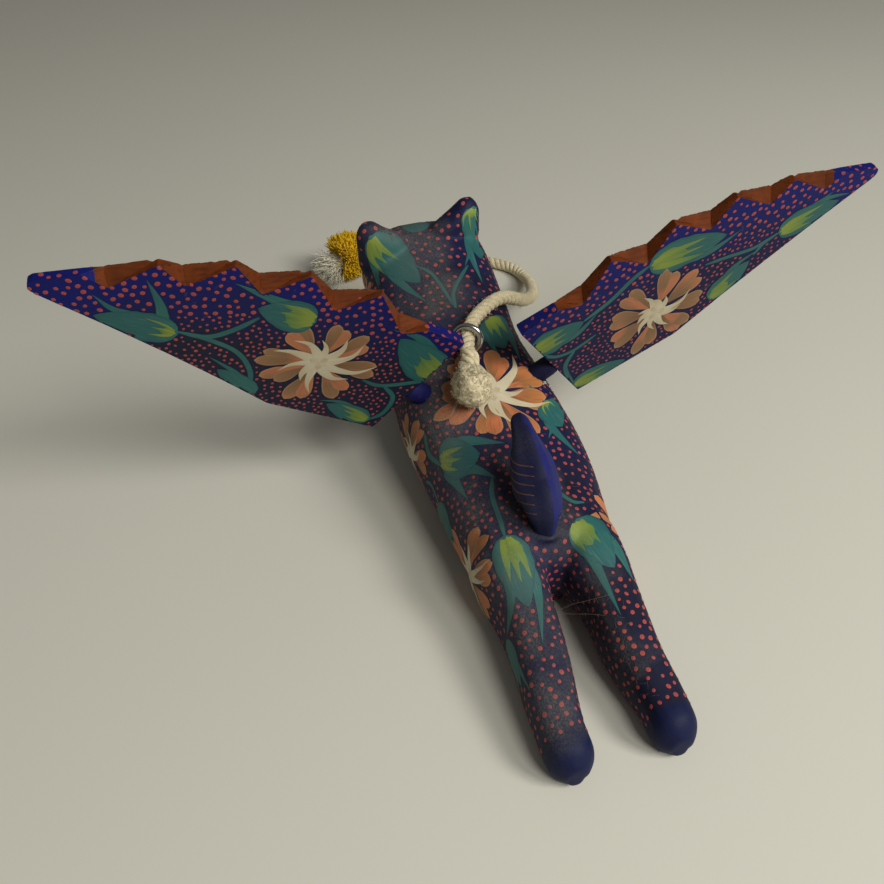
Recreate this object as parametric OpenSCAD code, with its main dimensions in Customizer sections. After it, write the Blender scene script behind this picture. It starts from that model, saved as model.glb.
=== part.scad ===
// Carved and painted flying cat with plug-in wings and tail, and a cotton rope hanger.
// Millimetres. X is to the cat's right, Y towards its head, Z up, and it lies on Z = 0.

/* [Body] */
// From the origin back to the end of the rump
rump_reach = 51; // [50:0.5:53]
// From the origin forward to the tip of the nose
nose_reach = 103; // [99:1:108]
// Width across the haunches
haunch_w = 47; // [43:1:51]
// How far the haunches stand to the right of the shoulders
haunch_shift = 2; // [0:0.5:3]
// Width of the waist
waist_w = 50; // [45:1:55]
// Width across the shoulders
shoulder_w = 50; // [46:1:55]
// Width of the neck
neck_w = 47; // [42:1:52]
// Width of the head
head_w = 46; // [42:1:50]
// Height of the rump
rump_h = 29; // [26:1:33]
// Height of the waist
waist_h = 35; // [32:1:38]
// Height of the shoulders
shoulder_h = 42; // [39:1:45]
// Height of the neck
neck_h = 49; // [46:1:52]
// Height of the crown
crown_h = 56; // [53:1:60]
// Height of the chin
chin_h = 17; // [15:1:20]
// How far the belly is planed flat
belly_cut = 1.5; // [0.8:0.1:2.5]

/* [Muzzle] */
// Width of the muzzle
muzzle_w = 24; // [18:1:30]
// Height of the muzzle from its chin to the nose
muzzle_h = 19; // [15:1:23]

/* [Ears] */
// From the origin forward to the ears
ear_reach = 79; // [74:1:84]
// Width of an ear where it leaves the head
ear_w = 20; // [16:1:22]
// Thickness of an ear from back to front where it leaves the head
ear_depth = 13; // [10:1:16]
// Height of the ear tips above the crown
ear_h = 9; // [6:1:12]
// Distance between the ear tips
ear_spread = 37; // [32:1:40]
// From the middle of the body to the middle between the ears, to the right
ear_shift = -1; // [-3:0.5:2]
// From the middle of the body to the middle of the head, to the right
head_shift = 1.5; // [-3:0.5:3]
// Turn of the head to its left, in degrees
head_turn = 8; // [-10:1:10]
// Tilt of the head to its left, in degrees
head_tilt = 3; // [-5:1:5]

/* [Legs] */
// From the origin back to the hind toes
toe_reach = 103; // [97:1:109]
// Distance between the middles of the hind feet
foot_spread = 27.5; // [26:0.5:30]
// From the middle of the body to the middle between the feet, to the right
foot_shift = 1; // [-2:0.5:3]
// Width of a thigh
thigh_w = 20; // [18:0.5:23]
// Width of a hind foot
foot_w = 12.5; // [11:0.5:15]
// Height of a hind foot
foot_h = 14; // [11:1:17]
// From the origin forward to the front paws
paw_reach = 101; // [96:1:107]
// Distance between the middles of the front paws
paw_spread = 23; // [20:1:28]
// Width of a front paw
paw_w = 13; // [10:1:16]
// Height of a front paw
paw_h = 11; // [9:1:13]

/* [Wings] */
// From the origin forward to the wing sockets
wing_y = 12; // [8:1:16]
// Reach of a wing from the middle of its root to its tip
wing_reach = 93.5; // [80:0.5:106]
// Height of the crest above the middle of the root
crest_h = 57.5; // [52:0.5:64]
// Height of the first peak above the middle of the root
first_peak_h = 40; // [36:0.5:43]
// Length of the root edge
root_l = 43.5; // [38:0.5:48]
// Thickness of the wing board
wing_t = 5.6; // [4.8:0.2:8]
// Thickness of the board at its peaks and its tip
crest_t = 2.4; // [1.6:0.1:2.8]
// Number of teeth along the crest
teeth = 5; // [3:1:7]
// Depth of the notch beside the root
tooth_depth = 12.5; // [9:0.5:14]
// Depth of the notch beside the tip
tip_tooth_depth = 5.5; // [3:0.5:7]
// How much deeper the notches are on the rear face than behind it
notch_bevel = 4.5; // [2.5:0.5:5]
// Lean of the wings to the rear, in degrees
wing_lean = 15; // [8:1:22]
// Forward sweep of the wings, in degrees
wing_sweep = 5; // [0:1:10]

/* [Pegs] */
// Diameter of a wing peg in the body
wing_peg_d = 6.8; // [5:0.2:8]
// Diameter of a wing peg's tenon in the wing
wing_tenon_d = 3.6; // [3:0.1:3.8]
// Rise of the wing pegs above level, in degrees
peg_rise = 38; // [32:1:44]
// Length of a wing peg between body and wing
peg_bare_l = 5.5; // [4:0.5:9]
// Depth of a wing peg in the body
peg_in_body = 12; // [9:0.5:15]
// Depth of a wing peg in the wing
peg_in_wing = 11; // [8:0.5:15]
// How far below the middle of the root the peg enters the wing
peg_drop = 4; // [0:0.5:8]
// Clearance round a peg that slides or turns
peg_clearance = 0.05; // [0.02:0.01:0.1]

/* [Tail] */
// From the origin back to the tail's seat
tail_y = 45; // [44:0.5:46]
// Height of the tail's tip above its seat
tail_h = 21; // [18:0.5:25]
// Forward reach of the tail's tip
tail_reach = 25; // [20:1:30]
// Width of the tail at its thickest
tail_w = 13.5; // [11:0.5:16]
// Thickness of the tail there
tail_t = 12; // [10:1:14]
// Diameter of the tail's base
tail_base_d = 6.4; // [5.6:0.2:7.6]
// Diameter of the tail peg
tail_peg_d = 3.4; // [2.8:0.2:4]
// Depth of the tail peg in the rump
tail_peg_in_body = 10; // [7:1:13]
// Depth of the tail peg in the tail
tail_peg_in_tail = 6; // [4:1:7]

/* [Screw eye] */
// Turn of the ring about its screw, in degrees
eye_turn = -26; // [-40:1:0]
// From the origin forward to the screw eye
eye_y = 21; // [20:1:23]
// From the middle of the back to the screw eye, to the right
eye_x = -1.5; // [-3:0.5:3]
// Clear diameter of the ring
eye_inner_d = 6.4; // [6.2:0.1:8]
// Diameter of the wire
eye_wire_d = 1.9; // [1.4:0.1:2.4]
// Length of the screw in the wood
eye_screw_l = 13; // [9:1:16]
// Pitch of the screw's grooves
eye_pitch = 1.5; // [1.2:0.1:2]

/* [Hanger] */
// Diameter of the cotton rope
cord_d = 4.8; // [4.4:0.1:5.2]
// Diameter of the stopper knot
knot_d = 7; // [6.4:0.2:7.4]
// Diameter of the frayed end on the knot
fray_d = 13; // [10:0.5:13]
// Diameter of the yarn tuft
tuft_d = 20; // [15:1:20]
// Length of the yarn tuft
tuft_l = 13; // [9:1:17]
// Length of the frayed tip past the tuft
tip_l = 13; // [8:1:15]
// Diameter of the frayed tip at its loose end
tip_d = 10; // [7:1:11]

/* [Hidden] */
// Sides of the torso's and the limbs' sections, and rings between two stations
body_sides = 28;
limb_sides = 16;
steps = 4;
// How far a cut starts outside the surface that it enters
over = 1;
// Room left at the end of a hole, and between seats that face each other
end_gap = 0.3;
seat_gap = 0.1;
// Colours of the painted wood, the metal, the cotton and the yarn
paint_blue = "#232a63";
peg_blue = "#1b2258";
tail_blue = "#232c7a";
zinc = "#b9bcc0";
cotton = "#e8dfc8";
mustard = "#c79a1c";

// Smooth curve through a list of rows of numbers
function between(a, b, c, d, t) =
    0.5 * (2 * b + (c - a) * t + (2 * a - 5 * b + 4 * c - d) * t * t + (3 * b - a - 3 * c + d) * t * t * t);
function row_at(rows, i) = rows[max(0, min(len(rows) - 1, i))];
function smooth_rows(rows) = concat(
    [for (i = [0 : len(rows) - 2], j = [0 : steps - 1])
        between(row_at(rows, i - 1), rows[i], rows[i + 1], row_at(rows, i + 2), j / steps)],
    [rows[len(rows) - 1]]);

// Rounded-square curve: a power of 2 is round, and larger powers are squarer
function squared(v, power) = sign(v) * pow(abs(v), 2 / power);
// The underside of every carved form is rounder than its top
belly_power = 1.8;

function unit(v) = v / norm(v);

function reversed(list) = [for (k = [len(list) - 1 : -1 : 0]) list[k]];

// A closed solid over a list of rings that have equal numbers of points; the first and the last ring are
// closed by one face each, or by the given faces between their points
module skin(rings, closing = []) {
    n = len(rings[0]);
    last = len(rings) - 1;
    points = [for (ring = rings) each ring];
    lids = closing == [] ? [[for (j = [0 : n - 1]) j]] : closing;
    sides = [for (i = [0 : last - 1], j = [0 : n - 1], half = [0, 1])
        let (a = i * n + j, b = i * n + (j + 1) % n, c = a + n, d = b + n)
        half == 0 ? [a, c, b] : [b, c, d]];
    far_lids = [for (lid = lids) [for (j = reversed(lid)) last * n + j]];
    polyhedron(points, concat(sides, lids, far_lids), convexity = 6);
}

// Cross-section of a carved form; a row is [y, middle x, half width, bottom, top, power]
function section(row, n) = [for (j = [0 : n - 1])
    let (a = -360 * j / n, power = a < -180 ? row[5] : belly_power)
    [row[1] + row[2] * squared(cos(a), power),
     row[0],
     (row[3] + row[4]) / 2 + (row[4] - row[3]) / 2 * squared(sin(a), power)]];

// A carved form over rows that run towards the head
module carved(rows, n) {
    skin([for (row = smooth_rows(rows)) section(row, n)]);
}

module both_sides() {
    children();
    mirror([1, 0, 0]) children();
}

// Stations of the torso, neck and head
rump_shift = haunch_shift * 2 / 3;
shoulder_row = [wing_y, 0, shoulder_w / 2, -belly_cut, shoulder_h, 3];
torso_rows = [
    [-rump_reach, rump_shift, haunch_w / 2 - 15, 9, rump_h - 8, 2],
    [-rump_reach + 2, rump_shift, haunch_w / 2 - 7.5, 4, rump_h - 3.5, 2.2],
    [-tail_y, rump_shift, haunch_w / 2 - 3, -belly_cut, rump_h, 2.5],
    [-tail_y + 16, haunch_shift, haunch_w / 2, -belly_cut, rump_h + 2, 2.6],
    [-wing_y, haunch_shift, waist_w / 2, -belly_cut, waist_h, 2.8],
    shoulder_row,
    [wing_y + 22, head_shift / 3 - 0.8, neck_w / 2, -belly_cut, (shoulder_h + neck_h) / 2, 3],
    [ear_reach - 22, head_shift * 2 / 3, neck_w / 2, chin_h / 2, neck_h, 3],
    [ear_reach, head_shift, head_w / 2, chin_h, crown_h, 3],
    [nose_reach - 13, head_shift, head_w / 2 - 1, chin_h, crown_h - 1, 2.8],
    [nose_reach - 5, head_shift, head_w / 2 - 5, chin_h + 2, crown_h - 8, 2.4],
    [nose_reach - 3, head_shift, head_w / 2 - 12, chin_h + 8, crown_h - 16, 2]];
torso_rings = smooth_rows(torso_rows);
function back_z(y) = lookup(y, [for (row = torso_rings) [row[0], row[4]]]);

muzzle_rows = [
    [nose_reach - 16, head_shift, muzzle_w / 2, chin_h, chin_h + muzzle_h + 2, 2.4],
    [nose_reach - 6, head_shift, muzzle_w / 2, chin_h, chin_h + muzzle_h, 2.4],
    [nose_reach - 2, head_shift, muzzle_w / 2 - 3, chin_h + 2, chin_h + muzzle_h - 1, 2.2],
    [nose_reach, head_shift, muzzle_w / 2 - 7, chin_h + 6, chin_h + muzzle_h - 3, 2]];

// The side is 1 for the right leg and -1 for the left one, which is drawn mirrored
function hind_leg_rows(side) = let (foot_x = foot_spread / 2 + side * foot_shift) [
    [-toe_reach, foot_x, foot_w / 2 - 3.5, 2, foot_h - 5, 2],
    [-toe_reach + 4, foot_x, foot_w / 2 - 0.3, -belly_cut, foot_h - 1, 2.2],
    [-toe_reach + 12, foot_x, foot_w / 2, -belly_cut, foot_h + 0.5, 2.6],
    [-(rump_reach + toe_reach) / 2, foot_x - 1.5, (thigh_w + foot_w) / 4 - 0.9, -belly_cut, foot_h + 4, 2.8],
    [-rump_reach - 10, foot_x - 1.7 + side * haunch_shift / 2, thigh_w / 2 - 2, -belly_cut, rump_h - 7, 2.8],
    [-tail_y, (haunch_w - thigh_w) / 2 - 1.8 + side * rump_shift, thigh_w / 2, -belly_cut, rump_h - 1, 2.4],
    [-tail_y + 22, haunch_w / 4 + side * haunch_shift, thigh_w / 2 - 2, -belly_cut / 2, rump_h - 4, 2.2]];

front_leg_rows = [
    [paw_reach - 72, paw_spread / 2, paw_w / 2 + 2, -belly_cut / 2, paw_h + 12, 2.4],
    [paw_reach - 46, paw_spread / 2, paw_w / 2 + 1.5, -belly_cut, paw_h + 7, 2.4],
    [paw_reach - 24, paw_spread / 2, paw_w / 2, -belly_cut, paw_h + 1.5, 2.4],
    [paw_reach - 4, paw_spread / 2, paw_w / 2, -belly_cut, paw_h, 2.2],
    [paw_reach, paw_spread / 2, paw_w / 2 - 3.5, 2, paw_h - 3, 2]];

// An ear at the rear corner of the head; a row is [up from the crown, x, forward, half width, half depth]
ear_rows = [
    [-16, head_w / 2 - ear_w / 2 - 1, 3, ear_w / 2 - 2, ear_depth / 2],
    [-7, head_w / 2 - ear_w / 2, 1, ear_w / 2, ear_depth / 2],
    [0, head_w / 2 - ear_w / 2 + 0.6, 0, ear_w / 2 - 0.4, ear_depth / 2 - 1],
    [ear_h * 0.6, ear_spread / 2 - 1, 0, ear_w / 4 + 0.5, ear_depth / 3],
    [ear_h, ear_spread / 2, 0, 2.2, 1.8]];

module ear() {
    skin([for (row = smooth_rows(ear_rows))
        [for (j = [0 : limb_sides - 1])
            let (a = 360 * j / limb_sides)
            [row[1] + row[3] * cos(a), row[2] + row[4] * sin(a), row[0]]]]);
}

// Both ears, turned and tilted with the head
module ears() {
    translate([ear_shift, ear_reach, crown_h]) rotate([0, -head_tilt, head_turn]) both_sides() ear();
}

// Where a wing peg leaves the shoulder, found on the shoulder's section
socket_turn = 47;
socket_x = shoulder_row[2] * squared(cos(socket_turn), shoulder_row[5]);
socket_z = (shoulder_h - belly_cut) / 2
    + (shoulder_h + belly_cut) / 2 * squared(sin(socket_turn), shoulder_row[5]);

// Frame of the right wing there: X along the span, Y through the board to its front, Z up the board
module wing_frame() {
    translate([socket_x, wing_y, socket_z]) rotate([wing_lean, 0, wing_sweep]) children();
}

// A round rod of the wing peg's line, from one distance along it to another
module peg_rod(d, from, to) {
    rotate([0, 90 - peg_rise, 0]) translate([0, 0, from]) cylinder(d = d, h = to - from, $fn = 48);
}

// Frame of the tail's seat on the rump: Z runs out along the tail peg
seat_depth = 0.8;
module tail_frame() {
    translate([0, -tail_y, rump_h - seat_depth]) children();
}

// A round rod on the tail peg's line
module tail_rod(d, from, to) {
    translate([0, 0, from]) cylinder(d = d, h = to - from, $fn = 48);
}

eye_ring_z = back_z(eye_y) + eye_inner_d / 2 + eye_wire_d;

module body() {
    color(paint_blue) difference() {
        union() {
            carved(torso_rows, body_sides);
            carved(muzzle_rows, limb_sides);
            carved(hind_leg_rows(1), limb_sides);
            mirror([1, 0, 0]) carved(hind_leg_rows(-1), limb_sides);
            both_sides() carved(front_leg_rows, limb_sides);
            ears();
        }
        below_floor();
        both_sides() wing_frame() peg_rod(wing_peg_d + 2 * peg_clearance, -peg_in_body, peg_bare_l);
        tail_seat();
        translate([eye_x, eye_y, back_z(eye_y) - eye_screw_l])
            cylinder(d = eye_wire_d, h = eye_screw_l + over, $fn = 32);
    }
}

module below_floor() {
    size = 2 * (toe_reach + nose_reach);
    translate([-size / 2, -size / 2, -size]) cube(size);
}

// Flat seat for the tail and the hole for its peg
module tail_seat() {
    tail_frame() {
        tail_rod(tail_base_d + seat_depth, 0, 2 * seat_depth + over);
        tail_rod(tail_peg_d + 2 * peg_clearance, -tail_peg_in_body, over);
    }
}

// Outline of the right wing from the middle of its root edge.
// The crest is a parabola with its top over the outer teeth.
crest_x = wing_reach - 25;
root_top = root_l / 2 * [-sin(peg_rise), cos(peg_rise)];
first_peak = 10;
crest_fall = (crest_h - first_peak_h) / pow(crest_x - first_peak, 2);
function crest(x) = [x, crest_h - crest_fall * pow(x - crest_x, 2)];
last_peak = wing_reach - 12.5;
pitch = (last_peak - first_peak) / (teeth - 1);
notch_lead = 0.28 * pitch;
function peak(i) = crest(first_peak + i * pitch);
function notch_depth(i) = tooth_depth + (tip_tooth_depth - tooth_depth) * i / (teeth - 1);
function notch(i) = crest(first_peak + i * pitch - notch_lead) - [0, notch_depth(i)];
shoulder_point = root_top + [10.5, 7];

// The tip is round, and the lower edge bows up to an elbow
tip_r = 2.2;
tip_middle = crest(wing_reach) - [tip_r, 0];
wing_elbow = [44, 1];
bow = [66, 27];
function lower_edge(t) = let (a = tip_middle + tip_r * [cos(-50), sin(-50)])
    a * (1 - t) * (1 - t) + bow * 2 * t * (1 - t) + wing_elbow * t * t;

// The board thins from its spine to its edges, most of all to the crest and the tip
lower_t = wing_t - 1.2;
root_t = wing_t - 0.4;

// The front face is flat along the spine, and falls away to each edge in line with the edge's thinness
spine_start = 4;
spine_end = wing_reach - 14;
spine_slope = 0.6;
fall_share = 0.6;
function spine(x) = let (s = max(spine_start, min(spine_end, x))) [s, spine_slope * s];
function fall_start(p, t) = p + fall_share * (wing_t - t) / (wing_t - crest_t) * (spine(p[0]) - p);

// A row of the outline is [rear corner, thickness of the edge, front corner, where the front's fall starts].
// A notch is cut at a slant into the same fall as the peaks beside it.
least_notch = 0.5;
function edge(p, t) = [p, t, p, fall_start(p, t)];
function notch_edge(i) =
    let (p = notch(i),
        top = p + [0, notch_depth(i)],
        corner = p + [0, min(notch_bevel, notch_depth(i) - least_notch)],
        start = fall_start(top, crest_t),
        fallen = (top[1] - corner[1]) / (top[1] - start[1]))
    [p, crest_t + (wing_t - crest_t) * fallen, corner, start];
wing_outline = concat(
    [edge(root_top, root_t - 1.2), edge(shoulder_point, crest_t + 1)],
    [for (i = [0 : teeth - 1]) each [notch_edge(i), edge(peak(i), crest_t)]],
    [for (a = [80 : -43 : -49]) edge(tip_middle + tip_r * [cos(a), sin(a)], crest_t)],
    [for (t = [0.25 : 0.25 : 1]) edge(lower_edge(t), crest_t + (lower_t - crest_t) * t)],
    [edge(-root_top, lower_t), edge(-0.5 * root_top, root_t), edge(0.4 * root_top, root_t)]);

// The flat faces are closed tooth by tooth, and below the teeth by a strip of triangles between the upper
// and the lower edge, which both run from the root to the tip
first_notch = 2;
tip_start = first_notch + 2 * teeth;
tip_end = tip_start + 3;
upper_side = concat([0, 1], [for (i = [0 : teeth - 1]) first_notch + 2 * i], [for (k = [tip_start : tip_end - 1]) k]);
lower_side = [for (k = [len(wing_outline) - 1 : -1 : tip_end]) k];
function outline_x(k) = wing_outline[k][0][0];
function strip(up, low, i = 0, j = 0) =
    let (up_ends = i == len(up) - 1, low_ends = j == len(low) - 1)
    up_ends && low_ends ? []
    : low_ends || (!up_ends && outline_x(up[i + 1]) < outline_x(low[j + 1]))
    ? concat([[up[i], up[i + 1], low[j]]], strip(up, low, i + 1, j))
    : concat([[up[i], low[j + 1], low[j]]], strip(up, low, i, j + 1));
wing_lids = concat(
    [for (k = [first_notch : 2 : tip_start - 2]) [k, k + 1, k + 2]],
    strip(upper_side, lower_side));

module wing_board() {
    root_middle = peg_bare_l * [cos(peg_rise), sin(peg_rise)] + peg_drop * [-sin(peg_rise), cos(peg_rise)];
    rear = -wing_t / 2;
    translate([root_middle[0], 0, root_middle[1]]) skin([
        [for (row = wing_outline) [row[0][0], rear, row[0][1]]],
        [for (row = wing_outline) [row[2][0], rear + row[1], row[2][1]]],
        [for (row = wing_outline) [row[3][0], wing_t / 2, row[3][1]]]], wing_lids);
}

module wing() {
    wing_frame() difference() {
        wing_board();
        peg_rod(wing_tenon_d + 2 * peg_clearance, peg_bare_l - over, peg_bare_l + peg_in_wing);
    }
}

module right_wing() { color(paint_blue) wing(); }
module left_wing() { color(paint_blue) mirror([1, 0, 0]) wing(); }

// A peg with a thin tenon for the wing
module wing_peg() {
    wing_frame() {
        peg_rod(wing_peg_d, -peg_in_body + end_gap, peg_bare_l - seat_gap);
        peg_rod(wing_tenon_d, 0, peg_bare_l + peg_in_wing - end_gap);
    }
}

module right_wing_peg() { color(peg_blue) wing_peg(); }
module left_wing_peg() { color(peg_blue) mirror([1, 0, 0]) wing_peg(); }

// The tail rises from its seat and leans forward over the back;
// a row is [forward, up, half width, half thickness]
tail_rows = [
    [0, seat_gap, tail_base_d / 2, tail_base_d / 2],
    [0.1, 2, tail_base_d / 2 + 0.2, tail_base_d / 2 + 0.1],
    [1.2, 5.5, (tail_base_d + tail_w) / 4, (tail_base_d + tail_t) / 4 - 0.25],
    [3.8, 8, tail_w / 2 - 0.9, tail_t / 2 - 0.4],
    [tail_reach - 17, tail_h - 11.5, tail_w / 2, tail_t / 2],
    [tail_reach - 12, tail_h - 7, tail_w / 2 - 0.7, tail_t / 2 - 0.6],
    [tail_reach - 6.5, tail_h - 3, tail_w / 2 - 3, tail_t / 2 - 2.4],
    [tail_reach - 1.5, tail_h - 0.6, 2.6, 2],
    [tail_reach, tail_h, 1.5, 1.2]];
tail_path = smooth_rows(tail_rows);
function tail_heading(i) = i == 0 ? [0, 1]
    : unit([for (k = [0, 1]) row_at(tail_path, i + 1)[k] - tail_path[i - 1][k]]);

module tail() {
    color(tail_blue) tail_frame() difference() {
        skin([for (i = [0 : len(tail_path) - 1])
            let (row = tail_path[i], ahead = tail_heading(i))
            [for (j = [0 : limb_sides - 1])
                let (a = 360 * j / limb_sides, rise = row[3] * sin(a))
                [row[2] * cos(a), row[0] + rise * ahead[1], row[1] - rise * ahead[0]]]]);
        tail_rod(tail_peg_d, -over, tail_peg_in_tail);
    }
}

module tail_peg() {
    color(peg_blue) tail_frame() tail_rod(tail_peg_d, -tail_peg_in_body + end_gap, tail_peg_in_tail);
}

// The screw eye: a wire ring over a grooved, pointed screw
eye_r = eye_wire_d / 2;
neck_r = eye_r - 0.25;
point_l = 3;
grooves = floor((eye_screw_l - point_l - 2) / eye_pitch);

module screw_eye() {
    color(zinc) translate([eye_x, eye_y, 0]) {
        translate([0, 0, eye_ring_z]) rotate([90, 0, eye_turn])
            rotate_extrude($fn = 64) translate([eye_inner_d / 2 + eye_r, 0]) circle(r = eye_r, $fn = 24);
        translate([0, 0, back_z(eye_y) - eye_screw_l + end_gap])
            rotate_extrude($fn = 32) polygon(screw_profile());
    }
}

// Half outline of the screw from its point to the ring
function screw_profile() = concat(
    [[0, 0]],
    [for (i = [0 : grooves]) each [
        [eye_r, point_l + i * eye_pitch],
        [neck_r, point_l + (i + 0.5) * eye_pitch]]],
    [[neck_r, eye_screw_l + eye_r], [0, eye_screw_l + eye_r]]);

// Middle line of the rope: from the knot on the back through the eye, over the right of the neck,
// down to the floor and round in front of the face to the tuft
cord_route = [
    [-4.2, 10.8, 47.4], [-3.1, 15.8, 48.1], [-1.5, 21, 48.5], [1.5, 27.5, 48.6], [5.5, 33, 48.6],
    [10.5, 37.8, 48.6], [14.5, 41, 48.3], [19, 44.3, 46.8], [24.2, 48.3, 43.2], [28.9, 54, 38.6],
    [33.3, 61, 33.9], [38, 69, 29.2], [42.8, 78, 24], [47.5, 88, 18.8], [51.8, 98, 13.8], [55.6, 108, 9.3],
    [58.7, 118, 5.6], [60, 128, 3], [58, 137, 2.6], [52, 144, 2.6], [44, 150, 2.6], [33, 154, 2.6],
    [21, 157, 2.7], [10, 158, 4.2], [0, 157.5, 7], [-8, 156, 10]];
cord_sides = 10;
knot_middle = [-4.2, 10.8, 47.4];
fray_middle = [-6.5, 2, 46];
tuft_start = [-8, 156, 10.3];
tuft_axis = unit([-9, -3, 0]);
tip_axis = unit([-9, -3, -4]);

function cord_heading(i) = unit(row_at(cord_route, i + 1) - row_at(cord_route, i - 1));

module hanger_cord() {
    color(cotton) skin([for (i = [0 : len(cord_route) - 1])
        let (ahead = cord_heading(i), across = unit(cross(ahead, [0, 0, 1])), up = cross(across, ahead))
        [for (j = [0 : cord_sides - 1])
            let (a = -360 * j / cord_sides)
            cord_route[i] + cord_d / 2 * (cos(a) * across + sin(a) * up)]]);
}

module cord_knot() { color(cotton) translate(knot_middle) sphere(d = knot_d, $fn = 32); }

module knot_fray() { color(cotton) translate(fray_middle) sphere(d = fray_d, $fn = 32); }

// Frame at a point on the hanger, with Z along an axis
module cord_frame(start, axis) {
    translate(start) rotate([0, acos(axis[2]), atan2(axis[1], axis[0])]) children();
}

module yarn_tuft() {
    color(mustard) cord_frame(tuft_start, tuft_axis) rotate_extrude($fn = 32)
        polygon([[0, 0], [tuft_d / 2 - 3, 0], [tuft_d / 2, 3], [tuft_d / 2, tuft_l - 3],
            [tuft_d / 2 - 3, tuft_l], [0, tuft_l]]);
}

module frayed_tip() {
    color(cotton) cord_frame(tuft_start + tuft_l * tuft_axis, tip_axis)
        cylinder(d1 = cord_d, d2 = tip_d, h = tip_l, $fn = 32);
}

body();
left_wing();
right_wing();
left_wing_peg();
right_wing_peg();
tail();
tail_peg();
screw_eye();
hanger_cord();
cord_knot();
knot_fray();
yarn_tuft();
frayed_tip();
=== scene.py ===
import random
from math import cos, floor, pi, radians, sin, tau

import bmesh
import bpy
import numpy as np
from mathutils import Matrix, Vector, noise
from mathutils.bvhtree import BVHTree
from mathutils.kdtree import KDTree
from numpy.linalg import norm


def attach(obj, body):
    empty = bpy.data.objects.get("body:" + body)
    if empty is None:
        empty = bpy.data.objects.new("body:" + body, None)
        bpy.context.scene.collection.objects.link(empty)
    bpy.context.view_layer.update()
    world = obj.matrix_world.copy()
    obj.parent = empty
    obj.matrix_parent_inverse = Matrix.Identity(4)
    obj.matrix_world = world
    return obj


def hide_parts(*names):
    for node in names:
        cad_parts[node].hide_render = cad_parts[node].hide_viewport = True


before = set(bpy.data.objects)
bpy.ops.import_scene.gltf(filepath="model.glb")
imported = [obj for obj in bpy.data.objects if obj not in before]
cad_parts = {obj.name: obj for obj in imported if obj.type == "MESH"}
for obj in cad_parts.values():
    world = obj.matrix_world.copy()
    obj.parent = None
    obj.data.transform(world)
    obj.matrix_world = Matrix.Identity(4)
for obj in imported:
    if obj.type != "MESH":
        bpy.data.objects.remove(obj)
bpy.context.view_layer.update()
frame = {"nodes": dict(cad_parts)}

nodes = frame["nodes"]
scene = bpy.context.scene
mm = 0.001
draw = random.Random(11)
vary = draw.uniform
straight_up = Vector((0, 0, 1))
viewer = Vector((-74.16, -197.70, 200.00))


# Camera, floor and light

def add_object(name, data):
    made = bpy.data.objects.new(name, data)
    scene.collection.objects.link(made)
    return made


def make_camera():
    """The camera that took the photograph, as fitted to it."""
    image_px, focal_px, sensor = 884, 880, 36
    tilt, heading = radians(50), radians(-16.41)
    camera = add_object("camera", bpy.data.cameras.new("camera"))
    camera.data.sensor_width = sensor
    camera.data.lens = sensor * focal_px / image_px
    camera.data.clip_start = 10 * mm
    camera.location = viewer * mm
    camera.rotation_euler = (tilt, 0, heading)
    scene.camera = camera


def add_lamp(name, place, watts):
    """A square lamp of soft, slightly warm light that points at the origin."""
    lamp = add_object(name, bpy.data.lights.new(name, "AREA"))
    lamp.data.size = 0.34
    lamp.data.energy = watts
    lamp.data.color = (1.0, 0.985, 0.95)
    lamp.location = place
    lamp.rotation_euler = (-Vector(place)).to_track_quat("-Z", "Y").to_euler()


def make_light():
    """One lamp at the right and one behind the viewer, in an even pale room."""
    room_tint, room_strength = (1.0, 0.99, 0.95, 1), 0.135
    add_lamp("right_lamp", (0.624, -0.60, 0.744), 7.8)
    add_lamp("front_lamp", (0.205, -0.763, 0.823), 5.1)
    scene.world = bpy.data.worlds.new("room")
    scene.world.use_nodes = True
    background = scene.world.node_tree.nodes["Background"]
    background.inputs["Color"].default_value = room_tint
    background.inputs["Strength"].default_value = room_strength
    scene.view_settings.view_transform = "Standard"


# Shader nodes

class Value:
    """A number, vector or colour in a material's node tree, to reckon with."""

    def __init__(self, nodes, socket):
        self.nodes, self.socket = nodes, socket

    def maths(self, how, other=0.0):
        return self.nodes.add("ShaderNodeMath", {0: self, 1: other}, operation=how)

    def __add__(self, other):
        return self.maths("ADD", other)

    def __sub__(self, other):
        return self.maths("SUBTRACT", other)

    def __mul__(self, other):
        return self.maths("MULTIPLY", other)

    def __abs__(self):
        return self.maths("ABSOLUTE")

    def band(self, low, high):
        """0 up to low, 1 from high on, and even between them."""
        return self.nodes.add("ShaderNodeMapRange", {"Value": self, "From Min": low, "From Max": high})

    def mix(self, a, b):
        """From one colour to another as this goes from 0 to 1."""
        return self.nodes.add("ShaderNodeMix", {0: self, 6: a, 7: b}, output=2, data_type="RGBA")

    def split(self):
        made = self.nodes.node("ShaderNodeSeparateXYZ", {0: self})
        return [Value(self.nodes, socket) for socket in made.outputs]


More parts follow.
